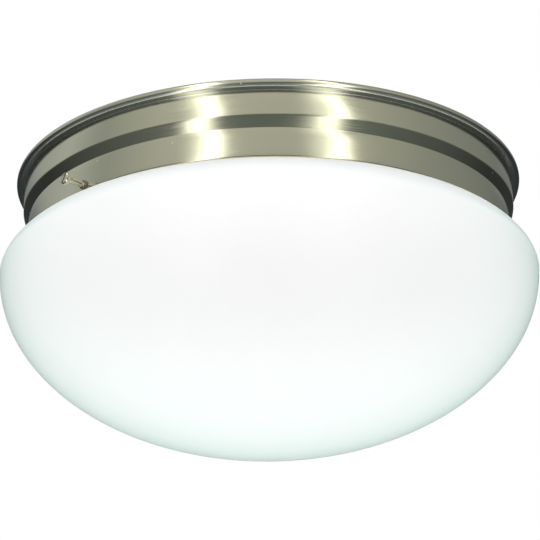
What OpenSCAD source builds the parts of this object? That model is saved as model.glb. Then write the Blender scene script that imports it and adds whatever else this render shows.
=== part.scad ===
// Flush mushroom ceiling light: a stamped pan against the ceiling, a blown glass
// shade held by three thumb screws, and two lamps lying side by side under the pan.
// Millimetres. The ceiling is the plane z = 0 and everything hangs below it.

/* [Pan] */
// Radius of the pan's upper band
band_r = 139.9; // [134:0.1:150]
// How far the rolled rim stands out past the upper band
rim_out = 4.1; // [3.4:0.1:6]
// Thickness of the pan's sheet metal
sheet_t = 0.8; // [0.6:0.1:1]
// Radius of the rolled rim, at the middle of the sheet
rim_roll = 1.9; // [1.6:0.1:2.2]
// Height of the upper band, from the groove to the step
band_h = 13.6; // [10:0.1:18]
// How deep the groove above the upper band is pressed in
groove_in = 1.1; // [0.8:0.1:1.4]
// Height from the deepest line of the groove to the upper band
groove_h = 1.3; // [1:0.1:2]
// Height of the sloped step
step_h = 6; // [4:0.1:9]
// How far the sloped step goes in
step_in = 2.6; // [1.5:0.1:4]
// Height of the lower band
skirt_h = 17.1; // [15:0.1:24]
// How much the lower band narrows on the way down
skirt_draft = 0.5; // [0:0.1:1.5]
// How far the lower edge is turned in
edge_in = 1.5; // [1:0.1:2]
// Depth of the well on the ceiling side of the pan
well_d = 12; // [11:0.1:15]
// Radius of the well
well_r = 116; // [112:0.5:120]
// Radius of the hole for the leads
wire_hole_r = 19; // [16:0.5:22]
// Bend radius of the pressed corners
press_r = 2; // [1.2:0.1:3]

/* [Glass shade] */
// Greatest radius of the glass
shade_r = 152.4; // [147:0.1:165]
// Depth of the bowl below its widest circle
bowl_d = 95.6; // [85:0.5:120]
// Height of the shoulder above the widest circle
shoulder_h = 14.6; // [11:0.1:22]
// Roundness of the shoulder, where 2 is a quarter of an ellipse
shoulder_pow = 1.6; // [1.4:0.05:2.4]
// Thickness of the glass
glass_t = 3.2; // [2.6:0.1:4]
// Gap between the pan's skirt and the lip of the glass
neck_gap = 9; // [8.4:0.1:11]
// How much the neck widens towards its lip, per millimetre of height
neck_taper = 0.1; // [0.05:0.01:0.11]
// Gap between the lip and the pan's back plate
lip_gap = 2.2; // [1.5:0.1:4]
// Gap between the pan's lower edge and the shoulder
shoulder_gap = 0.7; // [0.5:0.1:1.5]
// Radius of the hollow where the neck meets the shoulder
neck_fillet = 2; // [1.5:0.1:2.4]

/* [Thumb screws] */
// Direction of the first thumb screw
screw_turn = 224; // [180:1:260]
// Angle from the first thumb screw to the one on each side of it
screw_spread = 145; // [110:1:150]
// Height of the screws above the pan's lower edge
screw_up = 3.9; // [3.8:0.1:4.6]
// Diameter of the shank
shank_d = 3.5; // [3:0.1:3.8]
// Diameter of the knurled head
head_d = 6.5; // [6:0.1:7.4]
// Length of the knurled head
head_l = 2.6; // [2.2:0.1:6]
// Length of the shank that shows between the pan and the head
shank_out = 11.5; // [4:0.1:14]
// Diameter of the soft tip
tip_d = 3.8; // [3.4:0.1:4.2]
// Length of the soft tip
tip_l = 2.6; // [2:0.1:4]
// Gap between the tip and the glass neck
tip_gap = 0.3; // [0.25:0.01:0.5]
// Diameter of the nut's flange inside the pan
nut_d = 6; // [5.6:0.1:6.4]
// Length of the nut's flange
nut_l = 3.3; // [2.4:0.1:4]
// Diameter of the nut's barrel in the skirt
barrel_d = 5; // [4.8:0.1:5.2]
// How far the barrel stands out of the skirt
barrel_out = 1.3; // [0.8:0.1:2.5]

/* [Lamps] */
// Diameter of the lamp's bulb
bulb_d = 60; // [54:0.5:62]
// Length of the bulb beyond its cap
bulb_l = 83; // [76:0.5:90]
// Thickness of the bulb's glass
bulb_t = 1; // [0.8:0.1:1.4]
// Outer diameter of the screw cap
cap_d = 25.9; // [25:0.1:26]
// Length of the screw cap
cap_l = 22.5; // [20:0.1:23]
// Diameter of the eyelet at the cap's end
eyelet_d = 10; // [8:0.1:12]
// Height of the eyelet with its solder
eyelet_l = 2.4; // [2:0.1:3]
// Gap between the two bulbs
bulb_gap = 12; // [8:0.5:16]
// Gap between the bulbs and the pan's back plate
bulb_up = 5.2; // [4.5:0.1:8]

/* [Lampholders] */
// Radius of the porcelain body
holder_r = 19; // [17.6:0.1:20]
// Length of the porcelain body
holder_l = 38; // [36:0.5:42]
// Depth of the socket
bore_l = 27; // [26.5:0.1:28]
// Play between the lamp cap and the screw shell
cap_play = 0.4; // [0.3:0.05:0.5]
// Thickness of the screw shell
shell_t = 0.4; // [0.3:0.05:0.6]
// Thickness of the centre contact
contact_t = 1.4; // [1:0.1:1.6]
// Diameter of the centre contact
contact_d = 12; // [10:0.5:14]
// Gap between the lamp's eyelet and the centre contact
contact_gap = 0.3; // [0.25:0.05:0.5]
// Width of the bracket that holds the lampholder
bracket_w = 28; // [26:0.5:32]
// Thickness of the bracket
bracket_t = 1.5; // [1:0.1:2]
// Length of the bracket's foot
foot_l = 16; // [13:0.5:20]
// Room between the bracket's corner and the glass neck
bracket_room = 8; // [6:0.5:12]
// Diameter of the rivets
rivet_d = 4; // [3:0.1:4.6]
// Distance between the two rivets of a bracket
rivet_span = 18; // [16:0.5:20]
// Diameter of the screws that hold the porcelain
holder_screw_d = 3.5; // [3:0.1:4]
// Distance between the two screws of a lampholder
holder_screw_span = 20; // [18:0.5:22]
// Length of these screws inside the porcelain
holder_screw_l = 8; // [6:0.5:9]
// Distance from the porcelain's mouth to its collar
collar_x = 7; // [5:0.5:10]
// How far the porcelain's mouth and its bevels step in
holder_edge = 1.5; // [1:0.1:2]

/* [Mounting] */
// Length of the mounting strap
strap_l = 105; // [102:0.5:112]
// Width of the mounting strap
strap_w = 20; // [17:0.5:24]
// Thickness of the mounting strap
strap_t = 1.6; // [1.2:0.1:2]
// Distance between the two slots for the ceiling box
slot_span = 88.9; // [87:0.1:90]
// Length of a slot
slot_l = 10; // [8:0.1:11]
// Width of a slot
slot_w = 4.8; // [4.4:0.1:5.4]
// Distance between the two screws that carry the pan
mount_span = 69.85; // [66:0.05:72]
// Diameter of the screws that carry the pan
mount_d = 4.1; // [3.6:0.1:4.2]
// Diameter of their heads
mount_head_d = 8; // [7:0.1:9]
// Height of their heads
mount_head_h = 2.4; // [2:0.1:2.8]
// Play of these screws and their heads in the pan's keyholes
keyhole_play = 0.6; // [0.4:0.1:1]
// Distance from a screw to the wide end of its keyhole
keyhole_y = 11; // [9:0.5:14]
// Diameter of the earth screw
earth_d = 4.8; // [4:0.1:5]
// Place of the earth screw along the strap
earth_x = 20; // [17:0.5:24]
// Diameter of the round middle hole of the strap
middle_hole_d = 10; // [9:0.1:13]

/* [Insulation and leads] */
// Inner radius of the insulation ring
pad_in = 60; // [58:0.5:64]
// Gap between the insulation ring and the wall of the well
pad_gap = 2.5; // [1:0.1:6]
// Room between the insulation ring and the ceiling
pad_top = 1.5; // [0.8:0.1:2.5]
// Diameter of the insulated leads
lead_d = 2.2; // [1.8:0.1:2.4]
// Distance of the lead holes from the porcelain's mouth
lead_in = 14; // [12:0.5:18]
// Height of the twist-on connectors' wide end
nut_wide = 9; // [8.6:0.1:9.2]
// Diameter of their closed end
nut_narrow = 6; // [5:0.1:7]
// Length of the twist-on connectors
nut_long = 18; // [15:0.5:20]

/* [Hidden] */
$fn = 96;

// Small fits: a fixed pin in its hole, a sheet edge on its seat, and a shaft that turns
snug = 0.05;
seat = 0.15;
run = 0.15;
through = 1;

// Points along one rounded corner, and along the whole shell of revolution
corner_steps = 6;
lip_steps = 8;
neck_steps = 5;
shoulder_steps = 14;
bowl_steps = 26;

// Pan levels, measured down from the ceiling
rim_low = sheet_t / 2 + 2 * rim_roll;
groove_z = rim_low + sheet_t / 2;
band_top = groove_z + groove_h;
step_top = band_top + band_h;
skirt_top = step_top + step_h;
pan_d = skirt_top + skirt_h;
plate_low = well_d + sheet_t;
rim_r = band_r + rim_out;
skirt_r = band_r - step_in;
skirt_low_r = skirt_r - skirt_draft;
groove_r = 0.6;
fold_r = 0.8;

// Neck and shoulder of the glass
screw_z = -(pan_d - screw_up);
lip_z = -(plate_low + lip_gap);
lip_r = skirt_low_r - sheet_t - neck_gap;
waist_r = lip_r - neck_taper * (lip_z - screw_z);
shoulder_z = -(pan_d + shoulder_gap);
wide_z = shoulder_z - shoulder_h;
neck_inner_r = waist_r - glass_t;

// Thumb screws, measured out from the pan's axis
skirt_at_screw = skirt_low_r + skirt_draft * (screw_up / skirt_h);
tip_r = waist_r + tip_gap;
nut_out_r = skirt_at_screw - sheet_t - seat;
barrel_end_r = skirt_at_screw + barrel_out;
head_r = skirt_at_screw + shank_out;
screw_angles = [screw_turn, screw_turn + screw_spread, screw_turn - screw_spread];
knurls = 20;
knurl_depth = 0.35;
head_slot_w = 1;
head_slot_d = 1;
head_slot_turn = 58;

// Lamps and lampholders, for the first of the two, with the socket along +X
lamp_y = (bulb_d + bulb_gap) / 2;
lamp_z = -(plate_low + bulb_up + bulb_d / 2);
bracket_reach = min(neck_inner_r - bracket_room, well_r - press_r);
bracket_half = lamp_y + bracket_w / 2;
back_x = sqrt(bracket_reach * bracket_reach - bracket_half * bracket_half) - bracket_t;
mouth_x = back_x - holder_l;
shell_r = cap_d / 2 + cap_play;
bore_r = shell_r + shell_t + snug;
shell_start = 1;
shell_l = bore_l - contact_t - shell_start - 0.6;
eyelet_x = mouth_x + bore_l - contact_t - contact_gap;
insulator_l = 2.6;
cap_end_x = eyelet_x - eyelet_l - insulator_l;
bulb_x = cap_end_x - cap_l;
bulb_neck_r = cap_d / 2 - 0.6;
bulb_round_r = bulb_d / 2;
bracket_low = holder_r - 3;
foot_x = back_x + bracket_t - foot_l;
rivet_x = foot_x + foot_l / 2 - 1;
rivet_head_d = rivet_d + 3;
rivet_head_h = 1.2;
holder_screw_head_d = holder_screw_d + 2.8;
holder_screw_head_h = 2;

// Mounting hardware
mount_x = mount_span / 2;
keyhole_r = mount_head_d / 2 + keyhole_play;
mount_slot_w = mount_d + keyhole_play;
earth_head_d = earth_d + 3.4;
earth_head_h = 2;
slot_depth = 0.9;
slot_wide = 1.1;

// Insulation, leads and connectors
pad_low = well_d - rivet_head_h - 0.3;
pad_out = well_r - pad_gap;
lead_hole_x = mouth_x + lead_in;
lead_off = 6;
lead_sink = 3;
lead_run_z = -(plate_low + lead_d / 2 + 0.4);
connector_z = -(well_d - nut_wide / 2 - 0.1);
connector_y = 23;
connector_bore = lead_d + 1;
connector_sink = 3;
lead_pair = lead_d / 2 + 0.2;
lead_rise_x = 11;
lead_rise_y = 5;
lead_sides = 8;
lead_steps = 4;

metal = [0.62, 0.62, 0.57];
steel = [0.72, 0.73, 0.74];
brass = [0.80, 0.66, 0.32];

// One point of the path that rounds the corner b and runs d to the left of it, at
// fraction f of the turn. r is the radius of the rounding where d is 0.
function unit(v) = v / norm(v);
function leftward(v) = [-v[1], v[0]];
function corner_point(a, b, c, r, d, f) =
    let (
        u = unit(a - b),
        w = unit(c - b),
        half = acos(u * w) / 2,
        middle = b + unit(u + w) * r / sin(half),
        first = b + u * r / tan(half) - middle,
        last = b + w * r / tan(half) - middle,
        turn = 180 - 2 * half,
        grow = 1 - sign(leftward(b - a) * (c - b)) * d / r
    )
    middle + grow * (first * sin((1 - f) * turn) + last * sin(f * turn)) / sin(turn);

// A path of [x, y, corner radius] with every inner point rounded, moved d to its left
function flat(p) = [p[0], p[1]];
function rounded(path, d) =
    let (n = len(path) - 1, start = flat(path[0]), end = flat(path[n]))
    concat(
        [start + d * leftward(unit(flat(path[1]) - start))],
        [
            for (i = [1 : n - 1])
                for (k = [0 : corner_steps])
                    corner_point(
                        flat(path[i - 1]), flat(path[i]), flat(path[i + 1]),
                        path[i][2], d, k / corner_steps
                    )
        ],
        [end + d * leftward(unit(end - flat(path[n - 1])))]
    );

// The path moved sideways by d, to the left of its own direction
function beside(path, d) = [
    for (i = [0 : len(path) - 1])
        let (
            a = path[max(i - 1, 0)],
            b = path[min(i + 1, len(path) - 1)],
            u = unit(b - a)
        )
        path[i] + d * leftward(u)
];
function backwards(list) = [for (i = [len(list) - 1 : -1 : 0]) list[i]];

// A strip that lies between two offsets of one path, kept on its side of the axis
function strip(path, d1, d2) = [
    for (p = concat(beside(path, d1), backwards(beside(path, d2)))) [max(p[0], 0), p[1]]
];

// The middle of the pan's sheet, from the hole for the leads out to the lower edge
pan_path = [
    [wire_hole_r, -(well_d + sheet_t / 2)],
    [well_r + sheet_t / 2, -(well_d + sheet_t / 2), press_r],
    [well_r + sheet_t / 2, -sheet_t / 2, press_r],
    [rim_r - sheet_t / 2, -sheet_t / 2, rim_roll - 0.01],
    [rim_r - sheet_t / 2, -rim_low, rim_roll - 0.01],
    [band_r - sheet_t / 2 - groove_in, -groove_z, groove_r],
    [band_r - sheet_t / 2, -band_top, fold_r],
    [band_r - sheet_t / 2, -step_top, fold_r],
    [skirt_r - sheet_t / 2, -skirt_top, fold_r],
    [skirt_low_r - sheet_t / 2, -(pan_d - sheet_t / 2), fold_r],
    [skirt_low_r - edge_in, -(pan_d - sheet_t / 2)]
];

// Outside of the glass, from the lip down to the lowest point on the axis
shade_path = concat(
    [
        for (i = [0 : neck_steps])
            let (z = lip_z - glass_t / 2 + (screw_z - lip_z + glass_t / 2) * i / neck_steps)
            [waist_r + neck_taper * (z - screw_z), z]
    ],
    [
        for (k = [0 : corner_steps])
            let (a = 90 * k / corner_steps)
            [waist_r + neck_fillet * (1 - cos(a)), shoulder_z + neck_fillet * (1 - sin(a))]
    ],
    [
        for (i = [0 : shoulder_steps - 1])
            let (a = 90 - 90 * i / shoulder_steps, p = 2 / shoulder_pow)
            [
                skirt_low_r + (shade_r - skirt_low_r) * pow(cos(a), p),
                wide_z + shoulder_h * pow(sin(a), p)
            ]
    ],
    [
        for (i = [0 : bowl_steps])
            let (a = 90 * i / bowl_steps)
            [i == bowl_steps ? 0 : shade_r * cos(a), wide_z - bowl_d * sin(a)]
    ]
);

// Outside of a bulb from its neck to its tip, as [radius, distance from the cap]
bulb_middle = bulb_l - bulb_round_r;
bulb_flare = bulb_middle - 6;
bulb_path = concat(
    [
        for (i = [0 : 9])
            let (f = i / 10, s = f * f * (3 - 2 * f))
            [bulb_neck_r + (bulb_round_r * 0.94 - bulb_neck_r) * s, bulb_flare * f * 0.86]
    ],
    [
        for (i = [0 : 20])
            let (a = -20 + 110 * i / 20)
            [i == 20 ? 0 : bulb_round_r * cos(a), bulb_middle + bulb_round_r * sin(a)]
    ]
);

// A smooth curve through hand-chosen points
function curve_point(a, b, c, d, f) =
    b + ((c - a) + (2 * a - 5 * b + 4 * c - d + (3 * b - a - 3 * c + d) * f) * f) * f / 2;
function curve(p) = concat(
    [
        for (i = [0 : len(p) - 2])
            for (k = [0 : lead_steps - 1])
                curve_point(
                    p[max(i - 1, 0)], p[i], p[i + 1], p[min(i + 2, len(p) - 1)], k / lead_steps
                )
    ],
    [p[len(p) - 1]]
);

// A side direction for each ring, carried along the curve without twisting
function along(p, i) = unit(p[min(i + 1, len(p) - 1)] - p[max(i - 1, 0)]);
function squared(v, t) = unit(v - (v * t) * t);
function sides(p, i = 0, v = [0.3, 1, 0.1]) =
    i == len(p) ? [] : let (s = squared(v, along(p, i))) concat([s], sides(p, i + 1, s));

// A round lead of diameter d that follows the points p
module lead(p, d) {
    s = sides(p);
    n = lead_sides;
    points = [
        for (i = [0 : len(p) - 1])
            for (k = [0 : n - 1])
                let (a = 360 * k / n, c = cross(along(p, i), s[i]))
                p[i] + d / 2 * (cos(a) * s[i] + sin(a) * c)
    ];
    last = (len(p) - 1) * n;
    faces = concat(
        [[for (k = [0 : n - 1]) k]],
        [for (i = [0 : len(p) - 2]) for (k = [0 : n - 1])
            [i * n + k, (i + 1) * n + k, (i + 1) * n + (k + 1) % n]],
        [for (i = [0 : len(p) - 2]) for (k = [0 : n - 1])
            [i * n + k, (i + 1) * n + (k + 1) % n, i * n + (k + 1) % n]],
        [[for (k = [n - 1 : -1 : 0]) last + k]]
    );
    polyhedron(points, faces);
}

// The route of a lead: up out of the porcelain, along under the plate, up through
// the hole and into the mouth of its connector, round the keyhole of the carrying screw.
// side is the half of the pan that its lampholder is on, off the place of its hole across
// the porcelain, way the connector. The lead that crosses over keeps closer to the keyhole.
function lead_route(side, off, way) =
    let (
        x = side * lead_hole_x,
        y = side * (lamp_y + off),
        top = lamp_z + sqrt(holder_r * holder_r - off * off),
        up = lead_run_z - top,
        hole = [side * lead_rise_x, way * lead_rise_y],
        far = [x - side * 14, y + (hole[1] - y) * 0.2],
        knee = keyhole_y + keyhole_r + lead_d * (side == way ? 3 : 1)
    )
    [
        [x, y, top - lead_sink],
        [x, y, top],
        [x, y, top + up * 0.5],
        [x - side * 3.6, y + (hole[1] - y) * 0.05, lead_run_z - 1.6],
        [far[0], far[1], lead_run_z],
        [side * mount_x, side * knee, lead_run_z],
        [hole[0] + side * 10, hole[1] + (far[1] - hole[1]) * 0.14, lead_run_z],
        [hole[0], hole[1], -(well_d + sheet_t / 2)],
        [side * (lead_pair + 2.8), way * (connector_y - 10), connector_z - 0.4],
        [side * (lead_pair + 0.5), way * (connector_y - 5), connector_z],
        [side * lead_pair, way * (connector_y - 1), connector_z],
        [side * lead_pair, way * (connector_y + connector_sink), connector_z]
    ];

// Places a piece of lamp set i, drawn for the half of the pan with the socket on +X
module lamp_set(i) {
    rotate([0, 0, 180 * (i - 1)]) translate([0, lamp_y, lamp_z]) children();
}

// Turns a piece that is drawn along +Z so that it lies along +X, starting at x
module lying(x) {
    translate([x, 0, 0]) rotate([0, 90, 0]) children();
}

// Turns a piece that is drawn along +X out to the thumb screw k
module at_screw(k) {
    rotate([0, 0, screw_angles[k - 1]]) translate([0, 0, screw_z]) children();
}

// A slotted round head, whose flat side lies on z = 0
module slotted_head(d, h) {
    difference() {
        rotate_extrude() polygon(concat(
            [[0, 0], [d / 2, 0]],
            [for (a = [15 : 15 : 75]) [d / 2 * (0.35 + 0.65 * cos(a)), h * (0.35 + 0.65 * sin(a))]],
            [[0, h]]
        ));
        translate([-d, -slot_wide / 2, h - slot_depth]) cube([2 * d, slot_wide, h]);
    }
}

module ceiling_pan() {
    color(metal) difference() {
        rotate_extrude($fn = 180)
            polygon(concat(rounded(pan_path, -sheet_t / 2), backwards(rounded(pan_path, sheet_t / 2))));
        for (s = [-1, 1])
            translate([s * mount_x, 0, -plate_low - through]) {
                cylinder(h = sheet_t + 2 * through, d = mount_slot_w);
                translate([0, s * keyhole_y, 0]) cylinder(h = sheet_t + 2 * through, r = keyhole_r);
                translate([-mount_slot_w / 2, s > 0 ? 0 : -keyhole_y, 0])
                    cube([mount_slot_w, keyhole_y, sheet_t + 2 * through]);
            }
        for (s = [0, 180], y = [-1, 1])
            rotate([0, 0, s]) translate([rivet_x, lamp_y + y * rivet_span / 2, -plate_low - through])
                cylinder(h = sheet_t + 2 * through, d = rivet_d + 2 * snug);
        for (k = [1 : 3])
            at_screw(k) lying(nut_out_r - nut_l)
                cylinder(h = nut_l + barrel_out + 2, d = barrel_d + 2 * snug);
    }
}

module mounting_strap() {
    color(steel) translate([0, 0, -strap_t]) difference() {
        linear_extrude(height = strap_t) difference() {
            union() {
                square([strap_l - strap_w, strap_w], center = true);
                for (s = [-1, 1])
                    translate([s * (strap_l - strap_w) / 2, 0]) circle(d = strap_w);
            }
            circle(d = middle_hole_d);
            translate([-earth_x, 0]) circle(d = earth_d + 2 * snug);
            for (s = [-1, 1]) {
                translate([s * mount_x, 0]) circle(d = mount_d + 2 * snug);
                for (e = [-1, 1])
                    translate([s * slot_span / 2 + e * (slot_l - slot_w) / 2, 0]) circle(d = slot_w);
                translate([s * slot_span / 2, 0]) square([slot_l - slot_w, slot_w], center = true);
            }
        }
    }
}

module mount_screw(s) {
    color(steel) translate([s * mount_x, 0, -plate_low]) {
        cylinder(h = plate_low - 0.3, d = mount_d);
        rotate([180, 0, 0]) slotted_head(mount_head_d, mount_head_h);
    }
}

module earth_screw() {
    color([0.2, 0.55, 0.3]) translate([-earth_x, 0, -strap_t]) {
        cylinder(h = strap_t - 0.2, d = earth_d);
        rotate([180, 0, 0]) slotted_head(earth_head_d, earth_head_h);
    }
}

module insulation_ring() {
    color([0.93, 0.85, 0.45]) translate([0, 0, -pad_low]) difference() {
        cylinder(h = pad_low - pad_top, r = pad_out);
        translate([0, 0, -through]) cylinder(h = pad_low + 2 * through, r = pad_in);
    }
}

module thumb_nut(k) {
    color([0.28, 0.28, 0.26]) at_screw(k) difference() {
        union() {
            lying(nut_out_r - nut_l) cylinder(h = nut_l, d = nut_d);
            lying(nut_out_r - nut_l) cylinder(h = barrel_end_r - nut_out_r + nut_l, d = barrel_d);
        }
        lying(nut_out_r - nut_l - through)
            cylinder(h = barrel_end_r - nut_out_r + nut_l + 2 * through, d = shank_d + 2 * run);
    }
}

module thumb_tip(k) {
    color([0.85, 0.85, 0.82]) at_screw(k) lying(tip_r) rotate_extrude() polygon([
        [0, 0], [tip_d / 2 - 0.6, 0], [tip_d / 2, 0.6], [tip_d / 2, tip_l], [0, tip_l]
    ]);
}

module thumb_screw(k) {
    shank_from = tip_r + tip_l;
    color(metal) at_screw(k) difference() {
        union() {
            lying(shank_from) cylinder(h = head_r - shank_from, d = shank_d);
            lying(head_r) difference() {
                rotate_extrude() polygon([
                    [0, 0], [head_d / 2 - 0.5, 0], [head_d / 2, 0.5],
                    [head_d / 2, head_l - 0.6], [head_d / 2 - 0.6, head_l], [0, head_l]
                ]);
                for (i = [0 : knurls - 1])
                    rotate([0, 0, 360 * i / knurls]) translate([head_d / 2, 0, 0.7])
                        rotate([0, 0, 45]) translate([0, 0, (head_l - 1.4) / 2])
                        cube([knurl_depth, knurl_depth, head_l - 1.4], center = true);
            }
        }
        rotate([head_slot_turn, 0, 0])
            translate([head_r + head_l - head_slot_d, -head_d, -head_slot_w / 2])
            cube([head_slot_d + 1, 2 * head_d, head_slot_w]);
    }
}

module glass_shade() {
    lip_middle = shade_path[0] - [glass_t / 2, 0];
    lip_round = [
        for (k = [1 : lip_steps - 1])
            let (a = 180 - 180 * k / lip_steps)
            lip_middle + glass_t / 2 * [cos(a), sin(a)]
    ];
    color([0.95, 0.97, 0.96]) rotate_extrude($fn = 180)
        polygon(concat(strip(shade_path, 0, -glass_t), lip_round));
}

module holder_bracket(i) {
    foot_z = -plate_low - lamp_z;
    color(steel) lamp_set(i) difference() {
        union() {
            translate([foot_x, -bracket_w / 2, foot_z - bracket_t])
                cube([foot_l, bracket_w, bracket_t]);
            translate([back_x, -bracket_w / 2, -bracket_low])
                cube([bracket_t, bracket_w, foot_z + bracket_low]);
        }
        for (y = [-1, 1]) {
            translate([rivet_x, y * rivet_span / 2, foot_z - bracket_t - through])
                cylinder(h = bracket_t + 2 * through, d = rivet_d + 2 * snug);
            translate([0, y * holder_screw_span / 2, 0]) lying(back_x - through)
                cylinder(h = bracket_t + 2 * through, d = holder_screw_d + 2 * snug);
        }
    }
}

module bracket_rivet(i, y) {
    grip = sheet_t + bracket_t;
    color(steel) lamp_set(i) translate([rivet_x, y * rivet_span / 2, -lamp_z - plate_low - bracket_t]) {
        cylinder(h = grip, d = rivet_d);
        translate([0, 0, grip]) cylinder(h = rivet_head_h, d1 = rivet_head_d, d2 = rivet_d);
        translate([0, 0, -rivet_head_h]) cylinder(h = rivet_head_h, d1 = rivet_d, d2 = rivet_head_d);
    }
}

module lampholder(i) {
    groove = 1;
    color([0.93, 0.92, 0.88]) lamp_set(i) difference() {
        lying(mouth_x) rotate_extrude() polygon([
            [bore_r, 0], [holder_r - 2 * holder_edge, 0], [holder_r - holder_edge, holder_edge],
            [holder_r - holder_edge, collar_x], [holder_r, collar_x + holder_edge],
            [holder_r, holder_l - 4], [holder_r - groove, holder_l - 3],
            [holder_r - groove, holder_l], [0, holder_l], [0, bore_l], [bore_r, bore_l]
        ]);
        for (y = [-1, 1]) {
            translate([0, y * holder_screw_span / 2, 0]) lying(back_x - holder_screw_l - 1)
                cylinder(h = holder_screw_l + 2, d = holder_screw_d + 2 * snug);
            translate([
                lead_hole_x, y * lead_off,
                sqrt(holder_r * holder_r - lead_off * lead_off) - lead_sink - 0.3
            ]) cylinder(h = holder_r, d = lead_d + 0.3);
        }
    }
}

module holder_screw(i, y) {
    color(steel) lamp_set(i) translate([0, y * holder_screw_span / 2, 0]) {
        lying(back_x - holder_screw_l) cylinder(h = holder_screw_l + bracket_t, d = holder_screw_d);
        lying(back_x + bracket_t) slotted_head(holder_screw_head_d, holder_screw_head_h);
    }
}

module screw_shell(i) {
    color(brass) lamp_set(i) lying(mouth_x + shell_start) difference() {
        cylinder(h = shell_l, r = shell_r + shell_t);
        translate([0, 0, -through]) cylinder(h = shell_l + 2 * through, r = shell_r);
    }
}

module centre_contact(i) {
    color(brass) lamp_set(i) lying(mouth_x + bore_l - contact_t) cylinder(h = contact_t, d = contact_d);
}

module lamp_eyelet(i) {
    color([0.75, 0.74, 0.70]) lamp_set(i) lying(eyelet_x - eyelet_l) rotate_extrude() polygon([
        [0, 0], [eyelet_d / 2, 0], [eyelet_d / 2, eyelet_l * 0.4],
        [eyelet_d * 0.32, eyelet_l * 0.8], [eyelet_d * 0.14, eyelet_l], [0, eyelet_l]
    ]);
}

module lamp_insulator(i) {
    color([0.12, 0.12, 0.14]) lamp_set(i) lying(cap_end_x)
        cylinder(h = insulator_l, r1 = cap_d / 2 - 1.4, r2 = eyelet_d / 2);
}

module lamp_cap(i) {
    wall = 0.5;
    color([0.82, 0.82, 0.80]) lamp_set(i) lying(bulb_x) difference() {
        union() {
            cylinder(h = cap_l - 1.6, d = cap_d);
            translate([0, 0, cap_l - 1.6]) cylinder(h = 1.6, r1 = cap_d / 2, r2 = cap_d / 2 - 1.4);
        }
        translate([0, 0, -through]) cylinder(h = cap_l - 3 + through, d = cap_d - 2 * wall);
    }
}

module lamp_bulb(i) {
    sleeve = 4;
    color([0.97, 0.97, 0.95]) lamp_set(i) translate([bulb_x, 0, 0]) rotate([0, -90, 0]) rotate_extrude() {
        polygon(strip(bulb_path, 0, bulb_t));
        translate([bulb_neck_r - bulb_t, -sleeve]) square([bulb_t, sleeve + 0.2]);
    }
}

module lead_black(i) {
    color([0.12, 0.12, 0.12])
        lead(curve(lead_route(i == 1 ? 1 : -1, i == 1 ? lead_off : -lead_off, 1)), lead_d);
}

module lead_white(i) {
    color([0.92, 0.92, 0.90])
        lead(curve(lead_route(i == 1 ? 1 : -1, i == 1 ? -lead_off : lead_off, -1)), lead_d);
}

module connector(way) {
    translate([0, way * connector_y, connector_z]) rotate([-90 * way, 0, 0]) difference() {
        union() {
            cylinder(h = nut_long * 0.3, d = nut_wide);
            translate([0, 0, nut_long * 0.3])
                cylinder(h = nut_long * 0.7, d1 = nut_wide, d2 = nut_narrow);
        }
        translate([0, 0, -through])
            cylinder(h = connector_sink + 1.5 + through, r = connector_bore);
    }
}

module connector_black() {
    color([0.85, 0.45, 0.10]) connector(1);
}

module connector_white() {
    color([0.85, 0.45, 0.10]) connector(-1);
}

ceiling_pan();
mounting_strap();
mount_screw(1);  // mount_screw_1
mount_screw(-1);  // mount_screw_2
earth_screw();
insulation_ring();
thumb_nut(1);  // thumb_nut_1
thumb_nut(2);  // thumb_nut_2
thumb_nut(3);  // thumb_nut_3
thumb_tip(1);  // thumb_tip_1
thumb_tip(2);  // thumb_tip_2
thumb_tip(3);  // thumb_tip_3
thumb_screw(1);  // thumb_screw_1
thumb_screw(2);  // thumb_screw_2
thumb_screw(3);  // thumb_screw_3
glass_shade();
holder_bracket(1);  // holder_bracket_1
holder_bracket(2);  // holder_bracket_2
bracket_rivet(1, 1);  // bracket_rivet_1
bracket_rivet(1, -1);  // bracket_rivet_2
bracket_rivet(2, 1);  // bracket_rivet_3
bracket_rivet(2, -1);  // bracket_rivet_4
lampholder(1);  // lampholder_1
lampholder(2);  // lampholder_2
holder_screw(1, 1);  // holder_screw_1
holder_screw(1, -1);  // holder_screw_2
holder_screw(2, 1);  // holder_screw_3
holder_screw(2, -1);  // holder_screw_4
screw_shell(1);  // screw_shell_1
screw_shell(2);  // screw_shell_2
centre_contact(1);  // centre_contact_1
centre_contact(2);  // centre_contact_2
lamp_eyelet(1);  // lamp_eyelet_1
lamp_eyelet(2);  // lamp_eyelet_2
lamp_insulator(1);  // lamp_insulator_1
lamp_insulator(2);  // lamp_insulator_2
lamp_cap(1);  // lamp_cap_1
lamp_cap(2);  // lamp_cap_2
lamp_bulb(1);  // lamp_bulb_1
lamp_bulb(2);  // lamp_bulb_2
lead_black(1);  // lead_black_1
lead_black(2);  // lead_black_2
lead_white(1);  // lead_white_1
lead_white(2);  // lead_white_2
connector_black();
connector_white();
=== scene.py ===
import math

import bmesh
import bpy
import numpy as np
from mathutils import Matrix, Vector


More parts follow.
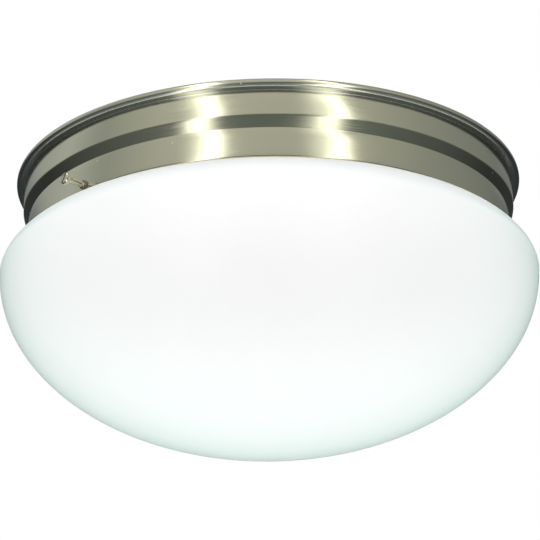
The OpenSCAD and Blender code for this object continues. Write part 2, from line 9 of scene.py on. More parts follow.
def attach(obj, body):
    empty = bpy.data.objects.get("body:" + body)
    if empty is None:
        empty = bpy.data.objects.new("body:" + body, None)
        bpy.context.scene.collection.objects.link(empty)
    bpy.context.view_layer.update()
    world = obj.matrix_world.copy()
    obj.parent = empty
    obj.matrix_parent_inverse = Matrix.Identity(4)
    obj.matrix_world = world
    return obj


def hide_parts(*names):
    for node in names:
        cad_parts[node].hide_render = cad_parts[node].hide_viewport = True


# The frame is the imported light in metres: the ceiling is the plane z = 0, the axis of the
# pan and of the glass is the z axis, and everything hangs below the ceiling.
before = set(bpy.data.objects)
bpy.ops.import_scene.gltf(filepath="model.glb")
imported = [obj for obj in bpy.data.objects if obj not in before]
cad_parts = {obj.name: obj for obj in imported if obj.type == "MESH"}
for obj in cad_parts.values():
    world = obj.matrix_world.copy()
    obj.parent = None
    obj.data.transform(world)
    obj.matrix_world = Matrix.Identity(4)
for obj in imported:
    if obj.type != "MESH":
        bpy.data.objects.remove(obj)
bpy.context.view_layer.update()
scene = bpy.context.scene
scene.view_settings.view_transform = "Standard"


# The camera stands 1.44 m away and 24 degrees below the light and looks up at it through
# a long lens, so the pan shows over the glass and its rims are flat ellipses.
def aimed(position, target, roll):
    """Turns that look from position to target along -Z, with +Y up and then rolled."""
    ahead = (target - position).normalized()
    right = ahead.cross(Vector((0, 0, 1))).normalized()
    up = right.cross(ahead)
    across = math.cos(roll) * right + math.sin(roll) * up
    upward = math.cos(roll) * up - math.sin(roll) * right
    turn = Matrix((across, upward, -ahead)).transposed().to_4x4()
    return Matrix.Translation(position) @ turn


camera = bpy.data.objects.new("camera", bpy.data.cameras.new("camera"))
camera.data.sensor_width = 36
camera.data.lens = 166.55
camera.data.clip_end = 100
camera.matrix_world = aimed(Vector((0, -1.3183, -0.5795)), Vector((0.00036, 0, -0.051)), math.radians(-0.81))
scene.collection.objects.link(camera)
scene.camera = camera


# The studio: a pale floor far below, a white background, and soft lamps at both sides,
# above, below and behind. A grey light tent, dark in its lower half, and two tall curved
# cards of light are what the metal mirrors; they show in reflections only.
def link_or_set(tree, socket, value):
    """Links another node's output to the socket, or gives the socket that value."""
    if isinstance(value, bpy.types.NodeSocket):
        tree.links.new(value, socket)
    else:
        socket.default_value = value


def add(tree, kind, sockets=None, **settings):
    """A shader node of that kind, with values or other nodes' outputs in its sockets."""
    made = tree.nodes.new(kind)
    for key, value in settings.items():
        setattr(made, key, value)
    for key, value in (sockets or {}).items():
        link_or_set(tree, made.inputs[key], value)
    return made


def reckon(tree, operation, *values):
    """What that operation makes of the values."""
    return add(tree, "ShaderNodeMath", dict(enumerate(values)), operation=operation).outputs[0]


def ranged(tree, value, low, high, start=0.0, end=1.0, smooth=False):
    """Goes from low to high while the value goes from start to end, and no further."""
    sockets = {"Value": value, "From Min": start, "From Max": end, "To Min": low, "To Max": high}
    kind = "SMOOTHSTEP" if smooth else "LINEAR"
    return add(tree, "ShaderNodeMapRange", sockets, interpolation_type=kind).outputs[0]


def between(tree, share, first, second):
    """The value between first and second at that share."""
    return add(tree, "ShaderNodeMix", {0: share, 2: first, 3: second}, data_type="FLOAT").outputs[0]


def blend(tree, share, first, second):
    """The colour between first and second at that share."""
    mixed = {0: share}
    for socket, value in ((6, first), (7, second)):
        mixed[socket] = value if isinstance(value, bpy.types.NodeSocket) else (*value, 1)
    return add(tree, "ShaderNodeMix", mixed, data_type="RGBA").outputs[2]


def background():
    """White where the camera or a mirrored or refracted ray looks, an even light elsewhere."""
    even_light = 0.61
    world = bpy.data.worlds.new("studio")
    world.use_nodes = True
    tree = world.node_tree
    tree.nodes.clear()
    path = add(tree, "ShaderNodeLightPath").outputs
    seen = reckon(tree, "MAXIMUM", path["Is Camera Ray"], path["Is Glossy Ray"])
    seen = reckon(tree, "MAXIMUM", seen, path["Is Transmission Ray"])
    strength = ranged(tree, seen, even_light, 1.0)
    light = add(tree, "ShaderNodeBackground", {"Color": (1, 1, 1, 1), "Strength": strength})
    add(tree, "ShaderNodeOutputWorld", {"Surface": light.outputs[0]})
    scene.world = world


def towards(azimuth, elevation):
    """Unit directions for angles in degrees: azimuth 0 is the camera's side and positive is
    to its right, and elevation is up from level."""
    a, e = np.radians(azimuth), np.radians(elevation)
    return np.stack((np.sin(a) * np.cos(e), -np.cos(a) * np.cos(e), np.sin(e) + 0 * a), -1)


def lamp(name, azimuth, elevation, distance, width, height, level):
    """A flat lamp that faces the light from that side; level is its brightness, where 1 is
    white."""
    data = bpy.data.lights.new(name, "AREA")
    data.shape = "RECTANGLE"
    data.size, data.size_y = width, height
    data.energy = level * math.pi * width * height
    made = bpy.data.objects.new(name, data)
    made.matrix_world = aimed(Vector(towards(azimuth, elevation) * distance), Vector((0, 0, 0)), 0)
    made.visible_camera = made.visible_glossy = False
    scene.collection.objects.link(made)


background()
lamp("softbox_left", -58, 4, 2.3, 1.0, 3.0, 2.25)
lamp("softbox_right", 58, 4, 2.3, 1.0, 3.0, 2.1)
lamp("lamp_above", 0, 34, 2.3, 2.0, 1.2, 1.3)
lamp("lamp_below", 0, -52, 2.2, 2.2, 1.2, 0.85)
lamp("lamp_below_behind", 180, -48, 2.2, 2.4, 1.2, 3.8)


def grid_mesh(name, points, closed_across=True, closed_along=False):
    """A mesh over an array of points, rows by columns, with a quad between neighbours."""
    rows, columns = points.shape[:2]
    index = np.arange(rows * columns).reshape(rows, columns)
    if closed_across:
        index = np.hstack((index, index[:, :1]))
    if closed_along:
        index = np.vstack((index, index[:1]))
    quads = np.stack((index[:-1, :-1], index[:-1, 1:], index[1:, 1:], index[1:, :-1]), -1).reshape(-1, 4)
    mesh = bpy.data.meshes.new(name)
    mesh.vertices.add(rows * columns)
    mesh.vertices.foreach_set("co", points.reshape(-1).astype(np.float32))
    mesh.loops.add(quads.size)
    mesh.polygons.add(len(quads))
    mesh.loops.foreach_set("vertex_index", quads.reshape(-1).astype(np.int32))
    mesh.polygons.foreach_set("loop_start", np.arange(0, quads.size, 4, dtype=np.int32))
    mesh.update(calc_edges=True)
    return mesh


def turned(profile, segments, swell=None):
    """Points of a surface of revolution: the profile of (radius, height) is carried once
    round the z axis. swell may give each point's radius a small change."""
    angle = np.linspace(0, 2 * np.pi, segments, endpoint=False)
    radius = np.repeat(profile[:, :1], segments, 1)
    if swell is not None:
        radius = radius + swell(profile, angle)
    height = np.repeat(profile[:, 1:], segments, 1)
    return np.stack((radius * np.cos(angle), radius * np.sin(angle), height), -1)


def staged(name, mesh, paint, mirrored_only=True):
    """Puts a backdrop in the studio; most are seen by mirrored rays alone."""
    mesh.materials.append(paint)
    made = bpy.data.objects.new(name, mesh)
    if mirrored_only:
        made.visible_camera = made.visible_diffuse = made.visible_transmission = made.visible_shadow = False
    scene.collection.objects.link(made)


def bare_material(name):
    """A new material with no nodes in it yet."""
    made = bpy.data.materials.new(name)
    made.use_nodes = True
    made.node_tree.nodes.clear()
    return made, made.node_tree


floor_paint, tree = bare_material("floor_paint")
matt = add(tree, "ShaderNodeBsdfDiffuse", {"Color": (0.86, 0.86, 0.86, 1)}).outputs[0]
white = add(tree, "ShaderNodeEmission", {"Color": (1, 1, 1, 1), "Strength": 0.42}).outputs[0]
whiter = add(tree, "ShaderNodeAddShader", {0: matt, 1: white}).outputs[0]
seen_directly = add(tree, "ShaderNodeLightPath").outputs["Is Camera Ray"]
shown = add(tree, "ShaderNodeMixShader", {0: seen_directly, 1: matt, 2: whiter}).outputs[0]
add(tree, "ShaderNodeOutputMaterial", {"Surface": shown})
floor_sweep = turned(np.array([[0.0, -2.4], [1.0, -2.4], [3.0, -2.4], [8.0, -2.4]]), 48)
staged("floor", grid_mesh("floor", floor_sweep), floor_paint, mirrored_only=False)

# The tent's walls change round the set, by azimuth in degrees, so that the metal mirrors
# what it does in the photograph. Its lower half is dark, and the dark reaches higher
# behind. Its sides and its lower half are a little cooler.
tent_cloth, tree = bare_material("tent_cloth")
place = add(tree, "ShaderNodeTexCoord").outputs["Object"]
x, y, z = add(tree, "ShaderNodeSeparateXYZ", {0: place}).outputs
azimuth = reckon(tree, "ARCTAN2", x, reckon(tree, "MULTIPLY", y, -1.0))
walls = add(tree, "ShaderNodeValToRGB", {"Fac": ranged(tree, azimuth, 0.0, 1.0, -math.pi, math.pi)})
wall_stops = ((-180, 0.36), (-145, 0.38), (-103, 0.62), (-80, 0.42), (-50, 0.58), (0, 0.60), (50, 0.50),
              (80, 0.38), (130, 0.25), (155, 0.33))
for degrees, _ in wall_stops[1:-1]:
    walls.color_ramp.elements.new(degrees / 360 + 0.5)
for stop, (degrees, grey) in zip(walls.color_ramp.elements, wall_stops):
    stop.position, stop.color = degrees / 360 + 0.5, (grey, grey, grey, 1)
upper_half = reckon(tree, "MULTIPLY", walls.outputs["Color"], ranged(tree, z, 1.0, 1.12, 1.0, 1.6))
underneath = ranged(tree, z, 0.0, 1.0, -0.95, -1.5, smooth=True)
lower_half = between(tree, underneath, ranged(tree, y, 0.165, 0.045, -1.4, 0.9), 0.26)
sunk = reckon(tree, "ADD", z, ranged(tree, y, 0.0, -0.55, 0.6, 1.9))
upwards = ranged(tree, sunk, 0.0, 1.0, 0.0, 0.6, smooth=True)
cooler = blend(tree, ranged(tree, y, 0.0, 1.0, -1.7, 0.3), (1, 1, 1), (0.95, 1.0, 1.05))
cloth_glow = add(tree, "ShaderNodeEmission", {
    "Color": blend(tree, upwards, (0.88, 1.0, 1.06), cooler),
    "Strength": between(tree, upwards, lower_half, upper_half)})
add(tree, "ShaderNodeOutputMaterial", {"Surface": cloth_glow.outputs[0]})
tent = 2.3 * towards(np.linspace(0, 360, 72, endpoint=False)[None], np.linspace(-90, 90, 37)[:, None])
staged("light_tent", grid_mesh("light_tent", tent), tent_cloth)

card_light, tree = bare_material("card_light")
card_share = add(tree, "ShaderNodeAttribute", attribute_name="share").outputs["Fac"]
card_glow = add(tree, "ShaderNodeEmission", {
    "Color": (1, 0.995, 0.96, 1), "Strength": reckon(tree, "MULTIPLY", card_share, 2.6)})
clear = add(tree, "ShaderNodeBsdfTransparent")
over = add(tree, "ShaderNodeAddShader", {0: card_glow.outputs[0], 1: clear.outputs[0]})
add(tree, "ShaderNodeOutputMaterial", {"Surface": over.outputs[0]})


def card(name, elevations, azimuths, shares):
    """A tall card of light that curves over the set. Each row of azimuths gives where the
    card's columns stand at that elevation, and shares how bright each column is."""
    rows = np.linspace(elevations[0], elevations[-1], 61)
    stand = np.stack([np.interp(rows, elevations, column) for column in np.array(azimuths, float).T], -1)
    mesh = grid_mesh(name, 2.2 * towards(stand, rows[:, None]), closed_across=False)
    stored = mesh.attributes.new("share", "FLOAT", "POINT")
    stored.data.foreach_set("value", np.tile(np.array(shares, np.float32), len(rows)))
    staged(name, mesh, card_light)


card_elevations = (-85, -75, -68, -61, -45, -19, 12, 24, 35, 50, 70)
card("card_left", card_elevations, (
    (-170, -165, -160, -150, -135, -130), (-150, -145, -140, -132, -118, -112),
    (-110, -105, -100, -92, -76, -70), (-72, -67, -62, -56, -39, -33), (-52, -47, -44, -40, -31, -25),
    (-39, -37, -35, -33.5, -26.5, -21.5), (-38, -33, -31, -29, -22, -17.5),
    (-38, -32.5, -28.5, -26.5, -22, -17.5), (-43, -38, -34, -32, -26.5, -22),
    (-50, -46, -43, -41, -32, -26), (-62, -57, -54, -51, -41, -34)), (0, 0.15, 0.45, 1, 1, 0))
card("card_right", card_elevations, (
    (130, 135, 140, 150, 165, 170), (110, 116, 122, 130, 145, 150), (68, 74, 80, 88, 105, 110),
    (22, 28, 33, 38, 57, 63), (10, 16, 20, 23, 33, 38), (14, 19.5, 22, 24, 29.5, 33.5),
    (16, 21, 26, 29, 34.5, 39.5), (15, 20.5, 28.6, 30.8, 34, 38.5), (14, 19, 23, 26, 30.5, 34),
    (15, 20, 23, 25, 32, 37), (21, 27, 31, 34, 45, 51)), (0, 0.15, 0.4, 1, 1, 0))


# The mounting strap is a flat bar of bright zinc-plated steel that is screwed to the
# ceiling box. Its solid is kept, and takes the streaks and the bluish bloom of rolled,
# plated bar.
def paint_of(name):
    """A new material with its tree, its Principled shader and its place on the object."""
    made, tree = bare_material(name)
    shader = add(tree, "ShaderNodeBsdfPrincipled")
    add(tree, "ShaderNodeOutputMaterial", {"Surface": shader.outputs[0]})
    return made, tree, shader, add(tree, "ShaderNodeTexCoord").outputs["Object"]


def put(tree, shader, **sockets):
    """Sets or links the shader's sockets, whose names are given with _ for each space."""
    for key, value in sockets.items():
        link_or_set(tree, shader.inputs[key.replace("_", " ")], value)


def effect(name, inputs, outputs):
    """A new shader group with named inputs and outputs, and its two end nodes."""
    group = bpy.data.node_groups.new(name, "ShaderNodeTree")
    kinds = {"v": "NodeSocketVector", "f": "NodeSocketFloat"}
    for key, (kind, value) in inputs.items():
        socket = group.interface.new_socket(key, in_out="INPUT", socket_type=kinds[kind])
        if value is not None:
            socket.default_value = value
    for key, kind in outputs.items():
        group.interface.new_socket(key, in_out="OUTPUT", socket_type=kinds[kind])
    return group, group.nodes.new("NodeGroupInput").outputs, group.nodes.new("NodeGroupOutput").inputs


def use(tree, group, sockets):
    """The outputs of that group as one node of the tree."""
    return add(tree, "ShaderNodeGroup", sockets, node_tree=group).outputs


def noise(tree, place, scale, detail=2.0, roughness=0.5):
    """Soft noise from 0 to 1, with that many waves to the metre."""
    sockets = {"Vector": place, "Scale": scale, "Detail": detail, "Roughness": roughness}
    return add(tree, "ShaderNodeTexNoise", sockets).outputs["Fac"]


def bump(tree, height, strength, distance, **normal):
    """The surface's normal, tilted as that height asks, over another bump's Normal if given."""
    sockets = {"Height": height, "Strength": strength, "Distance": distance, **normal}
    return add(tree, "ShaderNodeBump", sockets).outputs[0]


# Streaks: noise stretched along one axis, as rolling or drawing leaves on metal. Stretch
# is how many times finer it is across each axis.
streaks, given, out = effect(
    "streaks",
    {"Place": ("v", None), "Stretch": ("v", (1, 1, 1)), "Low": ("f", 0.0), "High": ("f", 1.0)},
    {"Value": "f", "Cloud": "f"},
)
spread = add(streaks, "ShaderNodeVectorMath", {0: given["Place"], 1: given["Stretch"]}, operation="MULTIPLY")
fine = noise(streaks, spread.outputs[0], 1.0, 3.0, 0.6)
streaks.links.new(ranged(streaks, fine, given["Low"], given["High"], 0.3, 0.7), out["Value"])
streaks.links.new(noise(streaks, given["Place"], 45.0), out["Cloud"])


def plated(name, stretch, tint, bloom, low=0.24, high=0.44):
    """Plated or bare metal: streaks across it, and clouds in which its tint turns to bloom."""
    made, tree, shader, place = paint_of(name)
    marks = use(tree, streaks, {"Place": place, "Stretch": stretch, "Low": low, "High": high})
    put(tree, shader, Base_Color=blend(tree, marks["Cloud"], tint, bloom), Metallic=1.0,
        Roughness=marks["Value"], Normal=bump(tree, marks["Value"], 0.12, 0.0003))
    return made


zinc_bar = plated("zinc_bar", (60, 2400, 2400), (0.66, 0.69, 0.72), (0.69, 0.68, 0.62))
strap_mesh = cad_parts["mounting_strap"].data
strap_mesh.materials.clear()
strap_mesh.materials.append(zinc_bar)


# Two bright zinc-plated screws carry the pan on the strap, and a green earth screw sits
# beside them. They are turned steel with a rolled thread, a domed head and a sawn slot.
def rounded_path(corners, steps):
    """The path through corners of (x, y, radius), with each inner corner replaced by an
    arc that touches both of its sides. The first and last points have no radius."""
    points = [np.array(corners[0][:2], float)[None]]
    for before, corner, after in zip(corners, corners[1:], corners[2:]):
        b = np.array(corner[:2], float)
        u, w = np.array(before[:2]) - b, np.array(after[:2]) - b
        u, w = u / np.linalg.norm(u), w / np.linalg.norm(w)
        half = math.acos(float(np.clip(u @ w, -1, 1))) / 2
        middle = b + (u + w) / np.linalg.norm(u + w) * corner[2] / math.sin(half)
        first = b + u * corner[2] / math.tan(half) - middle
        last = b + w * corner[2] / math.tan(half) - middle
        turn = math.pi - 2 * half
        f = np.linspace(0, 1, steps)[:, None]
        points.append(middle + (first * np.sin((1 - f) * turn) + last * np.sin(f * turn)) / math.sin(turn))
    return np.vstack(points + [np.array(corners[-1][:2], float)[None]])


def threaded(radius, depth, pitch, start, end, segments):
    """Points of a rolled thread along z, from start to end: the radius falls by depth in
    a wave that climbs one pitch a turn, and the wave dies out at both ends."""
    rows_a_turn = 8
    count = math.ceil(abs(end - start) / pitch * rows_a_turn) + 1
    z = np.linspace(start, end, count)[:, None]
    angle = np.linspace(0, 2 * np.pi, segments, endpoint=False)[None]
    edge = np.clip(np.minimum(np.abs(z - start), np.abs(z - end)) / pitch, 0, 1)
    r = radius - depth * edge * (0.5 - 0.5 * np.cos(2 * np.pi * z / pitch - angle))
    return np.stack((r * np.cos(angle), r * np.sin(angle), z + 0 * angle), -1)


def welded(name, meshes):
    """One mesh of those meshes, in millimetres, with every face outwards and with points
    that lie within half a micrometre of each other joined."""
    shape = bmesh.new()
    for mesh in meshes:
        shape.from_mesh(mesh)
    bmesh.ops.remove_doubles(shape, verts=shape.verts, dist=4e-4)
    bmesh.ops.recalc_face_normals(shape, faces=shape.faces)
    whole = bpy.data.meshes.new(name)
    shape.to_mesh(whole)
    shape.free()
    return whole


def piece(name, body, meshes, material, *stands_for, slot, at=Matrix(), sharp=35):
    """One object of meshes in millimetres, carried to its place by the matrix at. It is
    smooth but for its sharp edges, rides on the body and stands for the CAD nodes named."""
    whole = welded(name, meshes)
    whole.transform(at @ Matrix.Scale(0.001, 4))
    whole.shade_smooth()
    whole.set_sharp_from_angle(angle=math.radians(sharp))
    whole.materials.append(material)
    made = bpy.data.objects.new(name, whole)
    scene.collection.objects.link(made)
    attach(made, body)
    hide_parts(*stands_for)
    return made


def prism(outline, low, high, centre):
    """An outline of (x, y) carried along z from low to high, closed at both ends by fans
    that meet over the centre."""
    middle = np.broadcast_to(np.array(centre, float), outline.shape)
    rows = [(middle, low), (outline, low), (outline, high), (middle, high)]
    return grid_mesh("prism", np.stack([np.column_stack((row, np.full(len(row), z))) for row, z in rows]))


def cut(mesh, tool):
    """The mesh with the shape of the tool taken out of it."""
    solid = bpy.data.objects.new("solid", welded("solid", [mesh]))
    knife = bpy.data.objects.new("knife", welded("knife", [tool]))
    for part in (solid, knife):
        scene.collection.objects.link(part)
    hole = solid.modifiers.new("hole", "BOOLEAN")
    hole.operation, hole.solver, hole.object = "DIFFERENCE", "EXACT", knife
    left = bpy.data.meshes.new_from_object(solid.evaluated_get(bpy.context.evaluated_depsgraph_get()))
    for part in (solid, knife):
        bpy.data.objects.remove(part)
    return left


def slot_tool(width, deep, top, turn):
    """The shape that a sawn slot takes out of a head: a bar with a flared mouth, whose
    floor lies deep under the head's top, turned about z by that many degrees."""
    half, a = width / 2, math.radians(turn)
    section = np.array([
        (-half, top - deep), (half, top - deep), (half, top - 0.18), (half + 0.3, top + 0.12),
        (-half - 0.3, top + 0.12), (-half, top - 0.18)])
    bar = prism(section, -8, 8, (0, top - deep / 2))
    bar.transform(Matrix((
        (-math.sin(a), 0, math.cos(a), 0), (math.cos(a), 0, math.sin(a), 0), (0, 1, 0, 0), (0, 0, 0, 1))))
    return bar


def domed_screw(head_d, head_h, shank_d, length, turn):
    """A slotted screw with its head above z = 0: an elliptic dome over a short rim, and a
    threaded shank down to its chamfered end. Its slot is turned by that many degrees."""
    head_r, shank_r, pitch = head_d / 2, shank_d / 2, 0.8
    a = np.radians(np.linspace(90, 0, 14))[:, None]
    dome = np.hstack((head_r * (0.35 + 0.65 * np.cos(a)), head_h * (0.35 + 0.65 * np.sin(a))))
    rim = [(head_r, 0.25), (head_r - 0.2, 0), (shank_r + 0.2, 0), (shank_r, -0.2)]
    points = np.concatenate((
        turned(np.vstack(([(0, head_h)], dome, rim)), 48),
        threaded(shank_r, pitch * 0.42, pitch, -0.3, -length + 0.7, 48),
        turned(np.array([(shank_r - 0.5, -length), (0, -length)]), 48)))
    return cut(grid_mesh("screw", points), slot_tool(1.1, 0.9, head_h, turn))


head_down = Matrix.Rotation(math.pi, 4, "X")
carry_x = 34.925
zinc_screws = plated("zinc_screws", (900, 900, 2600), (0.70, 0.73, 0.76), (0.73, 0.72, 0.66), 0.20, 0.36)
for number, side, turn in ((1, 1, 25), (2, -1, 118)):
    piece(f"pan_screw_{number}", "pan", [domed_screw(8, 2.4, 4.1, 12.5, turn)], zinc_screws,
          f"mount_screw_{number}", slot="zinc_steel",
          at=Matrix.Translation((side * carry_x / 1000, 0, -0.0128)) @ head_down)
green_dye = plated("green_dye", (700, 700, 700), (0.035, 0.20, 0.075), (0.06, 0.27, 0.09), 0.22, 0.40)
piece("green_earth_screw", "pan", [domed_screw(8.2, 2.0, 4.8, 1.4, 70)], green_dye,
      "earth_screw", at=Matrix.Translation((-0.020, 0, -0.0016)) @ head_down, slot="green_steel")


# The pan is one stamping of thin steel in satin nickel: a back plate with a well, a rim
# rolled over at the ceiling, a groove, the upper band, a step pressed inwards, the lower
# band and an edge turned in. Two keyholes and the hole for the leads go through its back.
def finer(path, longest):
    """The same path with points put in, so that none of its parts is over that length."""
    parts = []
    for a, b in zip(path[:-1], path[1:]):
        count = max(1, math.ceil(np.linalg.norm(b - a) / longest))
        parts.append(a + (b - a) * np.linspace(0, 1, count, endpoint=False)[:, None])
    return np.vstack(parts + [path[-1:]])


# Marks that spinning and polishing leave round an axis: noise drawn out along each
# circle, with a cloudy patchiness that is wide enough to see from across a room.
spun, given, out = effect(
    "spun_marks",
    {"Place": ("v", None), "Fine": ("f", 2600.0), "Low": ("f", 0.0), "High": ("f", 1.0)},
    {"Value": "f", "Cloud": "f"},
)
level_part = add(spun, "ShaderNodeVectorMath", {0: given["Place"], 1: (1, 1, 0)}, operation="MULTIPLY")
level_part = level_part.outputs[0]
from_axis = add(spun, "ShaderNodeVectorMath", {0: level_part}, operation="LENGTH").outputs["Value"]
upright = add(spun, "ShaderNodeSeparateXYZ", {0: given["Place"]}).outputs["Z"]
across_marks = reckon(spun, "MULTIPLY", reckon(spun, "MULTIPLY_ADD", from_axis, 0.8, upright), given["Fine"])
wide = add(spun, "ShaderNodeVectorMath", {0: level_part, 3: 26.0}, operation="SCALE")
wide_x, wide_y, _ = add(spun, "ShaderNodeSeparateXYZ", {0: wide.outputs[0]}).outputs
drawn = add(spun, "ShaderNodeCombineXYZ", {0: wide_x, 1: wide_y, 2: across_marks})
rings = noise(spun, drawn.outputs[0], 1.0, 3.0, 0.6)
spun.links.new(ranged(spun, rings, given["Low"], given["High"], 0.3, 0.7), out["Value"])
spun.links.new(noise(spun, given["Place"], 22.0, 3.0), out["Cloud"])

# Specks: tiny points of dust or iron, each at the middle of a cell, and only in some cells.
specks, given, out = effect(
    "specks",
    {"Place": ("v", None), "Cells": ("f", 140.0), "Size": ("f", 0.05), "Share": ("f", 0.3)},
    {"Mask": "f"},
)
cell = add(specks, "ShaderNodeTexVoronoi", {"Vector": given["Place"], "Scale": given["Cells"]})
near = reckon(specks, "LESS_THAN", cell.outputs["Distance"], given["Size"])
pick = add(specks, "ShaderNodeSeparateXYZ", {0: cell.outputs["Color"]}).outputs["X"]
chosen = reckon(specks, "LESS_THAN", pick, given["Share"])
specks.links.new(reckon(specks, "MULTIPLY", near, chosen), out["Mask"])

# Satin nickel: a warm grey metal with spun marks, faint clouds and a little dust. The pan
# has one finish; its groove is only made greyer here to match the photograph, as a painted
# tone for the reflections seen in the groove.
satin_nickel, tree, shader, place = paint_of("satin_nickel")
nickel_tone = np.array((0.585, 0.58, 0.425))
groove_z, groove_reach = -0.0048, 0.0014
marks = use(tree, spun, {"Place": place, "Low": 0.13, "High": 0.22})
dust = use(tree, specks, {"Place": place})["Mask"]
upright = add(tree, "ShaderNodeSeparateXYZ", {0: place}).outputs["Z"]
# The groove's greyer colour is painted reflection: the metal there is the same, and only the look of what it
# mirrors changes.
groove = reckon(tree, "COMPARE", upright, groove_z, groove_reach)
plate = blend(tree, marks["Cloud"], nickel_tone * 0.95, nickel_tone * 1.04)
plate = blend(tree, groove, plate, (0.6, 0.6, 0.53))
put(tree, shader, Base_Color=blend(tree, dust, plate, (0.8, 0.82, 0.76)), Metallic=1.0,
    Roughness=reckon(tree, "MULTIPLY_ADD", dust, 0.4, marks["Value"]),
    Normal=bump(tree, marks["Value"], 0.10, 0.00004, Normal=bump(tree, marks["Cloud"], 0.25, 0.0006)))
pan_outside = rounded_path([
    (19.0, -12.0), (116.0, -12.0, 1.6), (116.0, 0.0, 2.4), (144.0, 0.0, 2.29), (144.0, -4.57, 2.25),
    (139.2, -5.0, 0.3), (139.42, -5.8, 0.4), (139.9, -11.8, 100.0), (139.9, -19.58, 4.0),
    (136.95, -25.6, 0.3), (137.2, -28.9, 45.0), (136.8, -42.6, 1.2), (135.3, -42.6)], 8)
pan_inside = rounded_path([
    (19.0, -12.8), (116.8, -12.8, 2.4), (116.8, -0.8, 1.6), (143.2, -0.8, 1.49), (143.2, -3.83, 1.45),
    (137.56, -4.26, 1.0), (139.1, -6.05, 0.4), (139.1, -19.42, 0.4), (136.5, -25.42, 1.2),
    (136.0, -41.8, 0.4), (135.3, -41.8)], 5)
pan_section = np.vstack((finer(pan_outside, 7), finer(pan_inside, 14)[::-1]))
stamping = grid_mesh("stamping", turned(pan_section, 300), closed_along=True)
wide_r, narrow_r, wide_end_y = 4.6, 2.35, 11
wide_end = np.radians(np.linspace(-59.27, 239.27, 44))[:, None]
narrow_end = np.radians(np.linspace(180, 360, 20))[:, None]
keyhole = np.vstack((
    np.hstack((wide_r * np.cos(wide_end), wide_end_y + wide_r * np.sin(wide_end))),
    np.hstack((narrow_r * np.cos(narrow_end), narrow_r * np.sin(narrow_end)))))
for side in (1, -1):
    outline = keyhole * side + (side * carry_x, 0)
    stamping = cut(stamping, prism(outline, -16, -9, (side * carry_x, side * 7.5)))
piece("pan_stamping", "pan", [stamping], satin_nickel, "ceiling_pan", slot="satin_nickel")


# The insulation is a ring of yellow glass wool with foil on its lower face. It lies in the
# pan's well and keeps the heat of the lamps from the ceiling. Its faces are lofty and
# uneven, and its cut edges are ragged.
def waves(x, y, seed, shortest, longest, count=48):
    """A smooth uneven height: the sum of count cosine waves that run in all directions,
    with lengths between shortest and longest and heights that grow with their length."""
    roll = np.random.default_rng(seed)
    heading, phase = roll.uniform(0, 2 * np.pi, (2, count))
    length = np.exp(roll.uniform(math.log(shortest), math.log(longest), count))
    k = 2 * np.pi / length
    field = np.cos(x[..., None] * k * np.cos(heading) + y[..., None] * k * np.sin(heading) + phase)
    return (field * length).sum(-1) / np.sqrt((length**2).sum() / 2)


wool_section = finer(rounded_path([
    (86.0, -10.3), (60.6, -10.3, 1.2), (60.9, -2.2, 3.4), (112.6, -2.2, 3.4), (113.0, -10.3, 1.2),
    (86.0, -10.3)], 9), 1.6)[:-1]
wool_points = turned(wool_section, 420)
wx, wy, wz = np.moveaxis(wool_points, -1, 0)
bearing = np.arctan2(wy, wx)
outwards = np.hypot(wx, wy)
loft = np.clip((wz + 10.3) / 4, 0, 1)
rag = waves(bearing * 90, wz * 2.0, 5, 1.6, 12) * 0.28 * np.clip((wz + 10.4) / 1.5, 0.25, 1)
mid_r = 86.5
ragged = np.where(outwards < mid_r, np.abs(rag), -np.abs(rag))
outwards = outwards + ragged * np.clip(np.abs(outwards - mid_r) / 26, 0, 1) ** 6
wz = wz + loft * (waves(wx, wy, 11, 2.0, 30) * 0.30 - 0.25)
wool_points = np.stack((outwards * np.cos(bearing), outwards * np.sin(bearing), wz), -1)
glass_wool, tree, shader, place = paint_of("glass_wool")
hairs = []
for heading, offset in ((0.3, 0.0), (1.4, 3.1), (2.5, 7.7)):
    spin = add(tree, "ShaderNodeMapping", {
        "Vector": place, "Location": (offset, offset, 0), "Rotation": (0, 0, heading)})
    hairs.append(use(tree, streaks, {"Place": spin.outputs[0], "Stretch": (260, 2400, 900)})["Value"])
felt = reckon(tree, "MAXIMUM", reckon(tree, "MAXIMUM", hairs[0], hairs[1]), hairs[2])
clumps = noise(tree, place, 140.0, 4.0)
wool = blend(tree, clumps, blend(tree, felt, (0.55, 0.42, 0.13), (0.90, 0.79, 0.42)), (0.93, 0.86, 0.58))
upright = add(tree, "ShaderNodeSeparateXYZ", {0: place}).outputs["Z"]
foil = ranged(tree, upright, 0.0, 1.0, -0.0099, -0.0101)
creases = add(tree, "ShaderNodeTexVoronoi", {"Vector": place, "Scale": 120.0}, feature="F1")
uneven = between(tree, foil, reckon(tree, "ADD", felt, clumps), creases.outputs["Distance"])
put(tree, shader, Base_Color=blend(tree, foil, wool, (0.80, 0.81, 0.82)), Metallic=foil,
    Roughness=ranged(tree, foil, 0.95, 0.28), Normal=bump(tree, uneven, 0.9, 0.0012), Sheen_Weight=0.25)
pad = piece("insulation_pad", "pan", [grid_mesh("wool", wool_points, closed_along=True)], glass_wool,
            "insulation_ring", slot="glass_wool")


# Two brackets of zinc-plated strip carry the lampholders. Each is bent to an L, with its
# foot riveted under the pan's plate and its upright behind the porcelain.
lamp_y, lamp_z = 36, -48


def lamp_place(number):
    """Carries a piece that is drawn round the first lamp's axis, along x, to lamp set 1 or
    2. The second set is the first turned half a turn about the light's axis."""
    axis = Matrix.Translation((0, lamp_y / 1000, lamp_z / 1000))
    return Matrix.Rotation(math.pi * (number - 1), 4, "Z") @ axis


